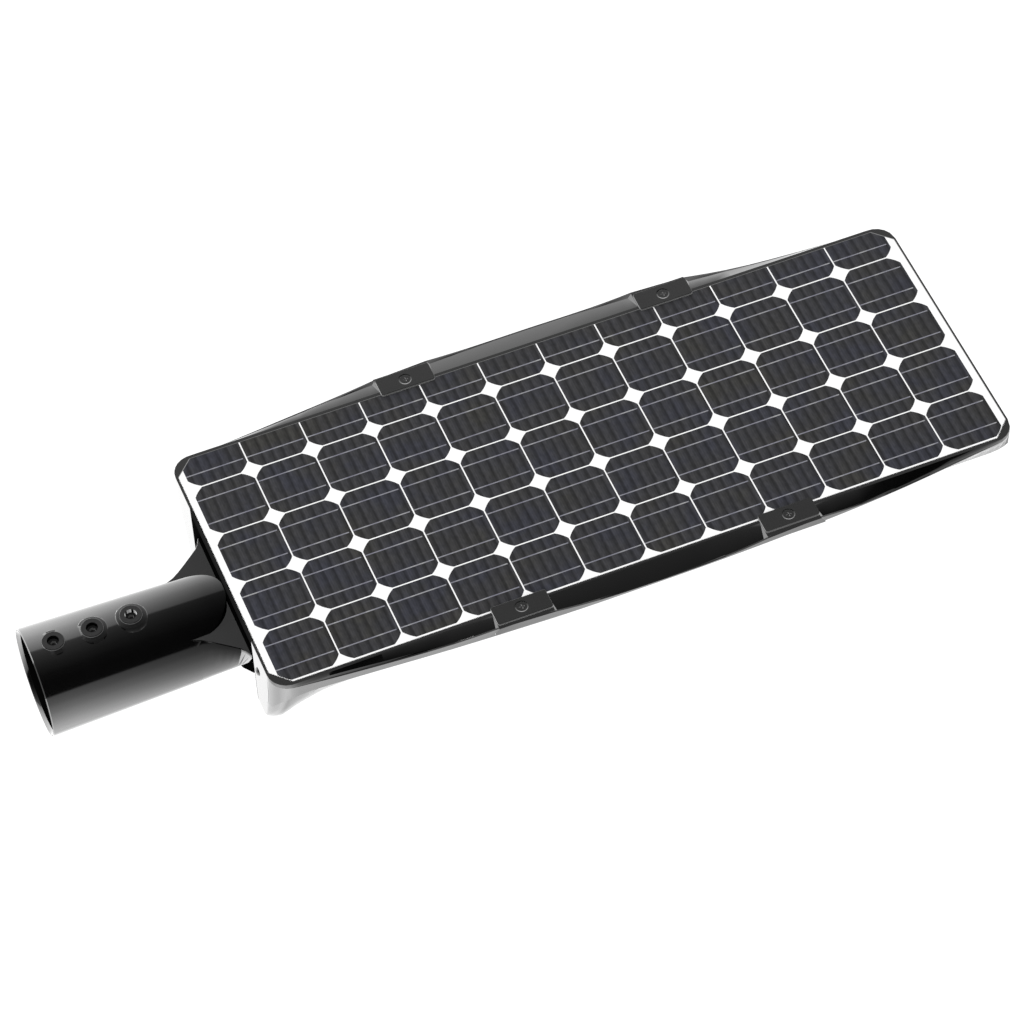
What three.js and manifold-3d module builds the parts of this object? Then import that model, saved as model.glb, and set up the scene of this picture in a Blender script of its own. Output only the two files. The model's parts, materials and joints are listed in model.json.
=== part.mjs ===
// Solar street lamp head: a solar panel clamped into a die-cast housing, on a sleeve for a 76 mm pole end.
// Millimetres. The origin is the centre of the sleeve's mouth, +X runs towards the lamp's tip, +Z is up.
import * as THREE from 'three';
import { ConvexGeometry } from 'three/addons/geometries/ConvexGeometry.js';
import { mergeVertices } from 'three/addons/utils/BufferGeometryUtils.js';
import Module from 'manifold-3d';

const wasm = await Module();
wasm.setup();

// Fits
const GAP = 0.3; // air between neighbouring pieces
const WALL = 3.5; // casting wall

// Solar panel
const PANEL_TOP = 58.9;
const PANEL_X = [166.2, 814.7];
const PANEL_Y = 122.4; // half width
const PANEL_THICK = 4;
const PANEL_CHAMFER = 15;
const PANEL_SLOT = 0.5; // slot between the panel and the rim

// Housing
const BODY_X = [163.5, 816.7];
const RIM_Y = 125.8;
const RIM_TOP = PANEL_TOP - 0.2;
const CORNER_R = 17.5;
const LEDGE_TOP = PANEL_TOP - PANEL_THICK - 1.6;
const LEDGE_Y = 111;
const BELLY_Y = 120.5; // half width of the deep part under the wings
const FLAT_Y = 58; // half width of the flat bottom
const BELLY_ARC = 50 * Math.PI / 180; // turn of the belly's curved side
const DEEP_Z = -20.5; // bottom of the battery end
const SLIM_Z = 4; // bottom of the light end
const DEEP_END = 400;
const SLIM_START = 480;
const TIP_CURVE = 21.7; // length over which the tip curves up
const CAVITY_X = [176.5, 810];

// Clamps along the two long edges
const CLAMP_X = [374.5, 609];
const CLAMP_LENGTH = 48;
const CLAMP_Y = [119.6, 138];
const CLAMP_THICK = 2.4;
const CLAMP_SCREW_Y = 128.4;
const RISE_LENGTH = 60; // distance over which the wing's edge rises to a pad

// Recess in the pole end
const RECESS_Y = 72;
const RECESS_TOP = 52;
const RECESS_BACK = 172.6;
const EARTH_SCREW = [-86, 35];

// Pole bracket
const SLEEVE_R = 46.1;
const SLEEVE_TAPER = 0.0282; // radius lost per millimetre of length
const MOUTH_X = -2; // the sleeve's lip stands a little in front of the origin
const BORE_R = [40.6, 38.8];
const BORE_DEPTH = 118;
const BOSS_X = [19.4, 52.5, 85.6];
const BOSS_TOP = 46.8;
const BOSS_R = 9.4;
const SET_SCREW_R = 4.7;
const SET_SCREW_LENGTH = 4.8;
const POLE_R = 38;
const NOSE_X = 128;
const NOSE_LENGTH = 37;
const NOSE_Y = 33;
const WEB_TOP = 28.7;
const FLANGE_X = [164.5, 171.1];
const FLANGE_R = 44;
const FLANGE_Y = 68;
const FLANGE_BOLTS = [[56, 17], [33, -9]];
const CORE_R = 27;

// Light, sensor, switch and battery door on the underside
const LENS_X = [566, 776];
const LENS_Y = 66;
const LIGHT_FLOOR = 14; // floor of the recess the light sits in
const DOOR_X = [238, 392];
const DOOR_Y = 70;
const SENSOR_X = 524;
const SENSOR_R = 13;
const BUTTON_X = 206;
const BUTTON_R = 7;
const CELL_R = 16;
const CELL_LENGTH = 70;

const COLOURS = {
  casting: { color: 0x3a3b3d, roughness: 0.38, metalness: 0.25 },
  clamp: { color: 0x38393b, roughness: 0.5, metalness: 0.2 },
  steel: { color: 0x2a2b2d, roughness: 0.35, metalness: 0.8 },
  plated: { color: 0xb9bcc0, roughness: 0.3, metalness: 0.9 },
  cells: { color: 0x2e3138, roughness: 0.18, metalness: 0.1 },
  rubber: { color: 0x161616, roughness: 0.85, metalness: 0 },
  plastic: { color: 0x1d1e20, roughness: 0.55, metalness: 0 },
  clear: { color: 0xe8eef2, roughness: 0.1, metalness: 0 },
  board: { color: 0xf2f2ee, roughness: 0.5, metalness: 0.05 },
  green: { color: 0x1f5a3a, roughness: 0.5, metalness: 0 },
  wrap: { color: 0x1f5fae, roughness: 0.4, metalness: 0 },
};

// ---- solids --------------------------------------------------------------

function solid(geometry) {
  const bare = new THREE.BufferGeometry();
  bare.setAttribute('position', geometry.getAttribute('position').clone());
  if (geometry.index) {
    bare.setIndex(geometry.index.clone());
  }
  const merged = mergeVertices(bare, 1e-4);
  const vertProperties = new Float32Array(merged.getAttribute('position').array);
  const triVerts = new Uint32Array(merged.index.array);
  return new wasm.Manifold(new wasm.Mesh({ numProp: 3, vertProperties, triVerts }));
}

function geometryOf(body) {
  const mesh = body.getMesh();
  const geometry = new THREE.BufferGeometry();
  geometry.setAttribute('position', new THREE.BufferAttribute(new Float32Array(mesh.vertProperties), 3));
  geometry.setIndex(new THREE.BufferAttribute(new Uint32Array(mesh.triVerts), 1));
  return geometry;
}

function union(...bodies) {
  return bodies.flat().reduce((whole, body) => whole.add(body));
}

function cut(body, ...tools) {
  return tools.flat().reduce((rest, tool) => rest.subtract(tool), body);
}

function box(xs, ys, zs) {
  const geometry = new THREE.BoxGeometry(xs[1] - xs[0], ys[1] - ys[0], zs[1] - zs[0]);
  geometry.translate((xs[0] + xs[1]) / 2, (ys[0] + ys[1]) / 2, (zs[0] + zs[1]) / 2);
  return solid(geometry);
}

// A solid of revolution about Z through (x, y); the profile lists [radius, z].
function turned(x, y, profile, segments = 16) {
  const geometry = new THREE.LatheGeometry(profile.map(([r, z]) => new THREE.Vector2(r, z)), segments);
  geometry.rotateX(Math.PI / 2);
  geometry.translate(x, y, 0);
  return solid(geometry);
}

function turnedAlongX(y, z, profile, segments = 16) {
  const geometry = new THREE.LatheGeometry(profile.map(([r, x]) => new THREE.Vector2(r, x)), segments);
  geometry.rotateZ(-Math.PI / 2);
  geometry.translate(0, y, z);
  return solid(geometry);
}

// A cylinder about Z, from z0 up to z1.
function post(x, y, r, z0, z1, segments = 16) {
  return turned(x, y, [[0, z0], [r, z0], [r, z1], [0, z1]], segments);
}

function rod(y, z, r, x0, x1, segments = 16) {
  return turnedAlongX(y, z, [[0, x0], [r, x0], [r, x1], [0, x1]], segments);
}

// A plan outline of [x, y] points raised from z0 to z1.
function slab(points, z0, z1) {
  const shape = new THREE.Shape(points.map(([x, y]) => new THREE.Vector2(x, y)));
  const geometry = new THREE.ExtrudeGeometry(shape, { depth: z1 - z0, bevelEnabled: false });
  geometry.translate(0, 0, z0);
  return solid(geometry);
}

// An outline of [y, z] points run from x0 to x1.
function plate(points, x0, x1) {
  const shape = new THREE.Shape(points.map(([y, z]) => new THREE.Vector2(y, z)));
  const geometry = new THREE.ExtrudeGeometry(shape, { depth: x1 - x0, bevelEnabled: false });
  const yzx = new THREE.Matrix4().set(0, 0, 1, 0, 1, 0, 0, 0, 0, 1, 0, 0, 0, 0, 0, 1);
  geometry.applyMatrix4(yzx);
  geometry.translate(x0, 0, 0);
  return solid(geometry);
}

function hull(points) {
  return solid(new ConvexGeometry(points.map(([x, y, z]) => new THREE.Vector3(x, y, z))));
}

// The outline of a rectangle with rounded corners.
function roundedRectangle(xs, ys, r, steps = 3) {
  const points = [];
  const corners = [
    [xs[1] - r, ys[1] - r, 0], [xs[0] + r, ys[1] - r, 1],
    [xs[0] + r, ys[0] + r, 2], [xs[1] - r, ys[0] + r, 3],
  ];
  for (const [x, y, quarter] of corners) {
    for (let i = 0; i <= steps; i += 1) {
      const a = (quarter + i / steps) * Math.PI / 2;
      points.push([x + r * Math.cos(a), y + r * Math.sin(a)]);
    }
  }
  return points;
}

// A rectangle in plan with its corners cut off.
function chamferedRectangle(xs, y, c) {
  return [
    [xs[0] + c, -y], [xs[1] - c, -y], [xs[1], -y + c], [xs[1], y - c],
    [xs[1] - c, y], [xs[0] + c, y], [xs[0], y - c], [xs[0], -y + c],
  ];
}

// A skin over rings of [y, z] points, one at each x, closed at both ends.
function loft(rings) {
  const count = rings[0].points.length;
  const positions = [];
  const index = [];
  for (const { x, points } of rings) {
    for (const [y, z] of points) {
      positions.push(x, y, z);
    }
  }
  for (let i = 0; i + 1 < rings.length; i += 1) {
    for (let j = 0; j < count; j += 1) {
      const a = i * count + j;
      const b = i * count + (j + 1) % count;
      index.push(a, b, a + count, b, b + count, a + count);
    }
  }
  const last = (rings.length - 1) * count;
  const flat = (ring) => ring.points.map(([y, z]) => new THREE.Vector2(y, z));
  const capOf = (ring) => THREE.ShapeUtils.triangulateShape(flat(ring), []);
  for (const [a, b, c] of capOf(rings[0])) {
    index.push(a, c, b);
  }
  for (const [a, b, c] of capOf(rings[rings.length - 1])) {
    index.push(last + a, last + b, last + c);
  }
  const geometry = new THREE.BufferGeometry();
  geometry.setAttribute('position', new THREE.Float32BufferAttribute(positions, 3));
  geometry.setIndex(index);
  return solid(geometry);
}

// Both sides of a ring from its +Y half, which is listed from the bottom centre up to the top centre.
function bothSides(half) {
  const mirrored = half.slice(1, -1).reverse().map(([y, z]) => [-y, z]);
  return [...half, ...mirrored];
}

// A smooth curve through [x, value] points.
function curve(points) {
  const xs = points.map(([x]) => x);
  const values = points.map(([, value]) => value);
  const through = new THREE.CubicInterpolant(xs, values, 1);
  return (x) => through.evaluate(x)[0];
}

function ease(t) {
  const s = Math.min(1, Math.max(0, t));
  return s * s * (3 - 2 * s);
}

// A round lead along a smooth path.
function lead(points, r, steps) {
  const path = new THREE.CatmullRomCurve3(points.map(([x, y, z]) => new THREE.Vector3(x, y, z)));
  const round = new THREE.Shape();
  round.absarc(0, 0, r, 0, Math.PI * 2);
  const geometry = new THREE.ExtrudeGeometry(round, { steps, curveSegments: 3, extrudePath: path });
  return solid(geometry);
}

// ---- housing -------------------------------------------------------------

const wingEdge = curve([[178, 126.4], [320, 138.2], [465, 144], [618, 141.2], [800, 126.4]]);
const floorDrop = curve([
  [160, 3], [213, 4.5], [320, 3.5], [469, 3.8], [600, 4.6], [713, 6.4], [767, 4.4], [820, 2],
]);
const sideWall = curve([
  [165, 44], [169, 30.5], [177, 21], [187, 15.5], [222, 10.5],
  [320, 7.6], [405, 5.2], [469, 2.6], [560, 1.2], [700, 0.8], [820, 0.8],
]);

// Half width of the rounded plan outline at x.
function cornerY(x) {
  const inset = Math.max(0, BODY_X[0] + CORNER_R - x, x - (BODY_X[1] - CORNER_R));
  return RIM_Y - CORNER_R + Math.sqrt(CORNER_R ** 2 - Math.min(CORNER_R, inset) ** 2);
}

// How far the wing's edge has risen to pad height at x: 1 beside a pad, 0 away from it.
function padRise(x) {
  const away = Math.min(...CLAMP_X.map((centre) => Math.abs(x - centre) - CLAMP_LENGTH / 2));
  const left = Math.min(1, Math.max(0, 1 - away / RISE_LENGTH));
  return left ** 2;
}

function tipRise(x) {
  const t = Math.min(1, Math.max(0, (x - (BODY_X[1] - TIP_CURVE)) / TIP_CURVE));
  return 1 - Math.sqrt(1 - t * t);
}

function bottomZ(x) {
  const slim = DEEP_Z + (SLIM_Z - DEEP_Z) * ease((x - DEEP_END) / (SLIM_START - DEEP_END));
  return slim + (46 - SLIM_Z) * tipRise(x);
}

// Half width of the belly's flat bottom, which widens towards the legs at the pole end.
function flatY(x) {
  return FLAT_Y + 30 * (1 - ease((x - BODY_X[0]) / 60));
}

// The belly's side from the edge of its flat bottom up to its widest height, where it meets the wall
// at a slant.
function bellySide(y, z, bottom, flat, steps = 6) {
  const points = [];
  const reach = Math.sin(BELLY_ARC);
  const drop = 1 - Math.cos(BELLY_ARC);
  for (let i = 0; i <= steps; i += 1) {
    const a = i / steps * BELLY_ARC;
    points.push([flat + (y - flat) * Math.sin(a) / reach, bottom + (z - bottom) * (1 - Math.cos(a)) / drop]);
  }
  return points;
}

function housingRing(x) {
  const rim = Math.min(RIM_Y, cornerY(x));
  const edge = rim + Math.max(0.6, wingEdge(x) - RIM_Y);
  const floorZ = RIM_TOP - floorDrop(x);
  const edgeZ = floorZ + (RIM_TOP - floorZ) * padRise(x);
  const wall = sideWall(x);
  const crease = [edge - 0.21 * wall, floorZ - wall];
  const bellyY = Math.min(BELLY_Y, crease[0] - 0.4);
  const bellyZ = Math.min(38 + 14 * tipRise(x), crease[1] - 0.6);
  const thick = Math.min(1.4, (edge - rim) / 3);
  const slope = (floorZ - RIM_TOP) / (edge - rim);
  return {
    x,
    points: bothSides([
      [0, bottomZ(x)],
      ...bellySide(bellyY, bellyZ, bottomZ(x), Math.min(flatY(x), bellyY - 9)),
      crease,
      [edge, edgeZ],
      [edge - thick, edgeZ + 0.02],
      [edge - 1.5 * thick, RIM_TOP + slope * (edge - rim - 1.5 * thick)],
      [rim, RIM_TOP],
      [0, RIM_TOP],
    ]),
  };
}

function housingStations() {
  const ends = [BODY_X[0], 164.1, 165.2, 167, 170, 174, 179, 185, 195, 210, 230, 255, 280];
  const tip = [713, 735, 755, 775, 789, 797, 803, 808, 812, 815, BODY_X[1]];
  const middle = [491.7];
  for (const centre of CLAMP_X) {
    for (const away of [24, 34, 46, 62, 84]) {
      middle.push(centre - away, centre + away);
    }
  }
  return [...ends, ...middle, ...tip].sort((a, b) => a - b);
}

// The flat end wall on the pole side: two legs under a lintel.
function endWall() {
  const leg = [
    [90.3, DEEP_Z + 1], [90.3, -8], [95.8, 4], [102.7, 13.5], [107.2, 32], [108.2, 52], [108.3, RIM_TOP],
  ];
  const outline = [[0, DEEP_Z + 1], ...leg, [0, RIM_TOP]];
  return plate(bothSides(outline), BODY_X[0], BODY_X[0] + 1.8);
}

function cavityRing(x) {
  const bottom = bottomZ(x) + WALL;
  const tipInset = Math.max(0, x - 795) * 0.6;
  return {
    x,
    points: bothSides([
      [0, bottom],
      ...bellySide(BELLY_Y - 4 - tipInset, Math.max(36, bottom + 2), bottom, FLAT_Y - 2, 4),
      [BELLY_Y - 4 - tipInset, 50],
      [0, 50],
    ]),
  };
}

function pad(x, side) {
  const half = CLAMP_LENGTH / 2;
  const outer = wingEdge(x) - 0.6;
  const points = [];
  for (const dx of [-1, 1]) {
    for (const y of [RIM_Y - 2, outer]) {
      points.push([x + dx * half, side * y, RIM_TOP]);
      points.push([x + dx * (half + 3.5), side * y, RIM_TOP - 4.5]);
      points.push([x + dx * (half + 3.5), side * y, RIM_TOP - 6.5]);
    }
  }
  return hull(points);
}

function clampSites() {
  return [1, -1].flatMap((side) => CLAMP_X.map((x) => ({ x, side })));
}

function ring(xs, y, inset, z0, z1) {
  const inner = [xs[0] + inset, xs[1] - inset];
  return cut(
    slab(roundedRectangle(xs, [-y, y], 6), z0, z1),
    slab(roundedRectangle(inner, [inset - y, y - inset], 4), z0 - 1, z1 + 1),
  );
}

function lensScrewSites() {
  const xs = [LENS_X[0] + 8, LENS_X[1] - 8];
  return [1, -1].flatMap((side) => xs.map((x) => [x, side * (LENS_Y - 6)]));
}

function doorScrewSites() {
  const xs = [DOOR_X[0] + 8, DOOR_X[1] - 8];
  return [1, -1].flatMap((side) => xs.map((x) => [x, side * (DOOR_Y - 7)]));
}

function controllerScrewSites() {
  return [[588, 0], [712, 0]];
}

// Bosses and seats for the pieces inside and underneath, added to the hollow shell.
function housingSeats() {
  const bedOutline = roundedRectangle([LENS_X[0] - 12, LENS_X[1] + 12], [-LENS_Y - 10, LENS_Y + 10], 8);
  const lightBed = slab(bedOutline, SLIM_Z + 2, LIGHT_FLOOR + 4);
  const doorSeat = ring([DOOR_X[0] - 8, DOOR_X[1] + 8], DOOR_Y + 8, 24, DEEP_Z + 2, DEEP_Z + 10);
  return [lightBed, doorSeat];
}

function housingOpenings() {
  const panelSeat = slab(
    chamferedRectangle([PANEL_X[0] - PANEL_SLOT, PANEL_X[1] + PANEL_SLOT], PANEL_Y + PANEL_SLOT, PANEL_CHAMFER),
    LEDGE_TOP, PANEL_TOP + 20);
  const mouth = box([CAVITY_X[0] + 2, CAVITY_X[1] - 8], [-LEDGE_Y, LEDGE_Y], [45, PANEL_TOP]);
  const recess = box([BODY_X[0] - 5, RECESS_BACK], [-RECESS_Y, RECESS_Y], [DEEP_Z - 5, RECESS_TOP]);
  const legHollows = [1, -1].map((side) => box(
    [BODY_X[0] + WALL + 0.5, CAVITY_X[0] + 3],
    side > 0 ? [RECESS_Y + WALL, 98] : [-98, -RECESS_Y - WALL],
    [16, 49]));
  const boltHoles = bracketBoltSites().map(([y, z]) => rod(y, z, 3.3, RECESS_BACK - 3, CAVITY_X[0] + 3, 12));
  const earthHole = rod(EARTH_SCREW[0], EARTH_SCREW[1], 2.2, BODY_X[0] - 2, BODY_X[0] + 8, 12);
  const lensSeat = slab(roundedRectangle(LENS_X, [-LENS_Y, LENS_Y], 6), SLIM_Z - 5, SLIM_Z + 4.2);
  const lightRecess = slab(
    roundedRectangle([LENS_X[0] + 14, LENS_X[1] - 14], [12 - LENS_Y, LENS_Y - 12], 4), SLIM_Z, LIGHT_FLOOR);
  const lightLeadHole = post(LENS_X[1] - 30, 30, 4, LIGHT_FLOOR - 2, LIGHT_FLOOR + 8, 12);
  const lensScrewHoles = lensScrewSites().map(([x, y]) => post(x, y, 1.8, SLIM_Z, SLIM_Z + 11, 10));
  const doorSeat = slab(roundedRectangle(DOOR_X, [-DOOR_Y, DOOR_Y], 6), DEEP_Z - 2, DEEP_Z + 4);
  const doorway = slab(
    roundedRectangle([DOOR_X[0] + 15, DOOR_X[1] - 15], [15 - DOOR_Y, DOOR_Y - 15], 4), DEEP_Z, DEEP_Z + 20);
  const doorScrewHoles = doorScrewSites().map(([x, y]) => post(x, y, 1.8, DEEP_Z, DEEP_Z + 9, 10));
  const sensorHole = post(SENSOR_X, 0, SENSOR_R + GAP, SLIM_Z - 5, SLIM_Z + 8, 18);
  const buttonHole = post(BUTTON_X, 0, BUTTON_R + 3 + GAP, DEEP_Z - 5, DEEP_Z + 8, 18);
  const controllerHoles = controllerScrewSites().map(
    ([x, y]) => post(x, y, 1.6, LIGHT_FLOOR + 0.8, LIGHT_FLOOR + 8, 10));
  const cradleHoles = cradleScrewSites().map(([x, y]) => post(x, y, 1.6, DEEP_Z + 5, DEEP_Z + 12, 10));
  const clampHoles = clampSites().map(
    ({ x, side }) => post(x, side * CLAMP_SCREW_Y, 2.8, 44, PANEL_TOP + 5, 12));
  return [
    panelSeat, mouth, recess, lensSeat, lightRecess, lightLeadHole, doorSeat, doorway, sensorHole, buttonHole,
    earthHole, ...legHollows, ...boltHoles, ...cradleHoles, ...lensScrewHoles, ...doorScrewHoles,
    ...controllerHoles, ...clampHoles,
  ];
}

function housing() {
  const skin = union(loft(housingStations().map(housingRing)), endWall());
  const cavityXs = [CAVITY_X[0], 300, DEEP_END, 427, 453, SLIM_START, 700, 795, 803, CAVITY_X[1]];
  const cavity = loft(cavityXs.map(cavityRing));
  const pads = clampSites().map(({ x, side }) => pad(x, side));
  return cut(union(cut(skin, cavity), ...pads, ...housingSeats()), housingOpenings());
}

// ---- solar panel and clamps ----------------------------------------------

function solarPanel() {
  return slab(chamferedRectangle(PANEL_X, PANEL_Y, PANEL_CHAMFER), PANEL_TOP - PANEL_THICK, PANEL_TOP);
}

function panelGasket() {
  const z = [LEDGE_TOP + GAP, PANEL_TOP - PANEL_THICK - GAP];
  const outer = chamferedRectangle([PANEL_X[0] + 1, PANEL_X[1] - 1], PANEL_Y - 1, PANEL_CHAMFER);
  const inner = chamferedRectangle([CAVITY_X[0] + 3, CAVITY_X[1] - 9], LEDGE_Y + 1, 4);
  return cut(slab(outer, z[0], z[1]), slab(inner, z[0] - 1, z[1] + 1));
}

function panelClamp({ x, side }) {
  const ys = side > 0 ? CLAMP_Y : [-CLAMP_Y[1], -CLAMP_Y[0]];
  const z = PANEL_TOP + GAP;
  const outline = roundedRectangle([x - CLAMP_LENGTH / 2, x + CLAMP_LENGTH / 2], ys, 2);
  const body = slab(outline, z, z + CLAMP_THICK);
  const sink = turned(x, side * CLAMP_SCREW_Y, [
    [0, z - 1], [2.9, z - 1], [2.9, z], [5.5, z + CLAMP_THICK], [5.5, z + 6], [0, z + 6],
  ], 16);
  return cut(body, sink);
}

function crossRecess(x, y, top, length, width, depth) {
  return union(
    box([x - length / 2, x + length / 2], [y - width / 2, y + width / 2], [top - depth, top + 1]),
    box([x - width / 2, x + width / 2], [y - length / 2, y + length / 2], [top - depth, top + 1]),
  );
}

function clampScrew({ x, side }) {
  const y = side * CLAMP_SCREW_Y;
  const top = PANEL_TOP + GAP + CLAMP_THICK - 0.1;
  const body = turned(x, y, [[0, 46], [2, 46], [2.4, 46.5], [2.4, top - 2.6], [4.8, top], [0, top]], 16);
  return cut(body, crossRecess(x, y, top, 4.6, 1.1, 1.4));
}

function junctionBox() {
  const under = PANEL_TOP - PANEL_THICK - GAP;
  return union(
    box([430, 520], [-30, 30], [under - 3, under]),
    box([436, 514], [-26, 26], [under - 13, under - 2]),
  );
}

// ---- pole bracket --------------------------------------------------------

function sleeveR(x) {
  return SLEEVE_R - SLEEVE_TAPER * x;
}

function bracketBoltSites() {
  return [1, -1].flatMap((side) => FLANGE_BOLTS.map(([y, z]) => [side * y, z]));
}

function circlePoints(x, r, count) {
  const points = [];
  for (let i = 0; i < count; i += 1) {
    const a = i / count * Math.PI * 2;
    points.push([x, r * Math.cos(a), r * Math.sin(a)]);
  }
  return points;
}

// The bore, bosses and mouth of the sleeve.
function sleeve() {
  const end = NOSE_X + NOSE_LENGTH + 3;
  const outer = turnedAlongX(0, 0, [
    [0, MOUTH_X], [SLEEVE_R - 0.8, MOUTH_X], [SLEEVE_R, MOUTH_X + 0.8], [sleeveR(end), end], [0, end],
  ], 60);
  const outline = [[MOUTH_X - 5, -60], [NOSE_X, -60]];
  for (let i = 0; i <= 20; i += 1) {
    const a = (i / 20 - 0.5) * Math.PI;
    outline.push([NOSE_X + NOSE_LENGTH * Math.cos(a), NOSE_Y * Math.sin(a)]);
  }
  outline.push([NOSE_X, 60], [MOUTH_X - 5, 60]);
  return outer.intersect(slab(outline, -60, 60));
}

// Half width of the web at x.
const webEdge = curve([
  [118, 30.5], [126, 31.5], [132, 34], [138, 37.9], [144, 42.5], [150, 47.3], [155, 51.3], [159, 54.6],
  [161.5, 57.5], [163.5, 61.5], [165.5, 66.5],
]);

// Outline of the neck at x: the sleeve's round with the web's edges on both sides.
function neckOutline(x) {
  const edge = webEdge(x);
  const points = circlePoints(x, Math.max(38, sleeveR(x) - 0.3), 60);
  for (const side of [1, -1]) {
    const low = side * (edge + 0.7);
    points.push([x, side * edge, WEB_TOP], [x, low, WEB_TOP - 0.7], [x, low, WEB_TOP - 4]);
  }
  return points;
}

// The flat web that widens from the sleeve to the flange.
function flare() {
  const xs = [118, 126, 132, 138, 144, 150, 155, 159, 161.5, 163.5, FLANGE_X[0] + 1];
  const parts = xs.slice(1).map((x, i) => hull([...neckOutline(xs[i]), ...neckOutline(x)]));
  return union(...parts).intersect(box([0, 200], [-100, 100], [-100, WEB_TOP]));
}

function flangeOutline(inset, xs) {
  const points = [];
  for (const x of xs) {
    points.push(...circlePoints(x, FLANGE_R - inset, 32));
    for (const side of [1, -1]) {
      const y = side * (FLANGE_Y - inset);
      points.push([x, y, 9], [x, y, WEB_TOP - 4], [x, y - side * 3, WEB_TOP - inset], [x, y - side * 3, 5]);
    }
  }
  return hull(points);
}

function poleBracket() {
  const bosses = BOSS_X.map((x) => turned(x, 0, [
    [0, 39], [15.8, 39], [14.2, 42.2], [13, 43.7], [12.2, 44.4], [BOSS_R + 1, BOSS_TOP - 2],
    [BOSS_R - 0.3, BOSS_TOP - 1.7], [BOSS_R, BOSS_TOP - 1.3], [BOSS_R, BOSS_TOP - 0.5],
    [BOSS_R - 0.5, BOSS_TOP], [0, BOSS_TOP],
  ], 28));
  const flange = flangeOutline(0, FLANGE_X);
  const bore = turnedAlongX(0, 0, [
    [0, MOUTH_X - 2], [45, MOUTH_X - 2], [45, MOUTH_X], [42.4, MOUTH_X + 3], [BORE_R[0], MOUTH_X + 11],
    [BORE_R[1], BORE_DEPTH], [0, BORE_DEPTH],
  ], 60);
  const core = rod(0, 0, CORE_R, BORE_DEPTH + 8, FLANGE_X[1] + 2, 20);
  const setHoles = BOSS_X.map((x) => post(x, 0, SET_SCREW_R + GAP, 20, BOSS_TOP + 5, 16));
  const boltHoles = bracketBoltSites().map(([y, z]) => rod(y, z, 3.3, FLANGE_X[0] + 1, FLANGE_X[1] + 2, 12));
  return cut(union(sleeve(), flare(), flange, ...bosses), bore, core, ...setHoles, ...boltHoles);
}

function bracketGasket() {
  const xs = [FLANGE_X[1] + GAP, RECESS_BACK - GAP];
  const limit = box([xs[0] - 1, xs[1] + 1], [-80, 80], [DEEP_Z + 1, 60]);
  const holes = bracketBoltSites().map(([y, z]) => rod(y, z, 3.6, xs[0] - 1, xs[1] + 1, 12));
  const core = box([xs[0] - 1, xs[1] + 1], [-20, 20], [-14, 20]);
  return cut(flangeOutline(1.5, xs).intersect(limit), core, ...holes);
}

function bracketBolt([y, z]) {
  const head = rod(y, z, 5.5, CAVITY_X[0] + GAP, CAVITY_X[0] + 4.5, 6);
  return union(head, rod(y, z, 2.9, FLANGE_X[0] + 1.5, CAVITY_X[0] + 1, 12));
}

function setScrew(x) {
  const bottom = POLE_R + 0.2;
  const body = turned(x, 0, [
    [0, bottom], [3.2, bottom], [SET_SCREW_R, bottom + 1.2], [SET_SCREW_R, bottom + SET_SCREW_LENGTH],
    [0, bottom + SET_SCREW_LENGTH],
  ], 16);
  return cut(body, post(x, 0, 2.6, bottom + SET_SCREW_LENGTH - 3, bottom + SET_SCREW_LENGTH + 2, 6));
}

// The earthing screw in the -Y leg.
function earthScrew() {
  const [y, z] = EARTH_SCREW;
  const top = BODY_X[0] - 2.2;
  const body = turnedAlongX(y, z, [
    [0, top], [2.6, top], [3.75, top + 1], [3.75, BODY_X[0] - GAP], [1.9, BODY_X[0] - GAP],
    [1.9, BODY_X[0] + 9],
    [0, BODY_X[0] + 9],
  ], 16);
  const slots = [
    box([top - 1, top + 1.2], [y - 2, y + 2], [z - 0.5, z + 0.5]),
    box([top - 1, top + 1.2], [y - 0.5, y + 0.5], [z - 2, z + 2]),
  ];
  return cut(body, slots);
}

// ---- battery -------------------------------------------------------------

const CRADLE_Z = DEEP_Z + 10.3;

function cradleScrewSites() {
  const x = (DOOR_X[0] + DOOR_X[1]) / 2;
  return [[x, DOOR_Y + 4], [x, -DOOR_Y - 4]];
}

// A tray with two sides, and an ear each side for a screw.
function batteryCradle() {
  const xs = [DOOR_X[0] + 2, DOOR_X[1] - 2];
  const half = 4 * CELL_R + 4;
  const parts = [box(xs, [-half, half], [CRADLE_Z, CRADLE_Z + 1.5])];
  for (const [x, y] of cradleScrewSites()) {
    const side = Math.sign(y);
    parts.push(box(xs, [side * half, side * (half + 1.5)].sort((a, b) => a - b), [CRADLE_Z, 18]));
    const ys = [side * half, side * (DOOR_Y + 8)].sort((a, b) => a - b);
    parts.push(box([x - 8, x + 8], ys, [CRADLE_Z, CRADLE_Z + 1.5]));
  }
  const holes = cradleScrewSites().map(([x, y]) => post(x, y, 1.9, CRADLE_Z - 2, CRADLE_Z + 3, 10));
  return cut(union(...parts), ...holes);
}

function cellSites() {
  const x = (DOOR_X[0] + DOOR_X[1]) / 2;
  const sites = [];
  for (const end of [-1, 1]) {
    for (let i = 0; i < 4; i += 1) {
      sites.push([x + end * (CELL_LENGTH / 2 + 1), (i - 1.5) * (2 * CELL_R + GAP)]);
    }
  }
  return sites;
}

function batteryCell([x, y]) {
  const z = CRADLE_Z + 1.5 + GAP + CELL_R;
  const half = CELL_LENGTH / 2;
  return turnedAlongX(y, z, [
    [0, x - half], [CELL_R, x - half], [CELL_R, x + half - 1.5], [5, x + half - 1.5], [5, x + half],
    [0, x + half],
  ], 16);
}

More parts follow.
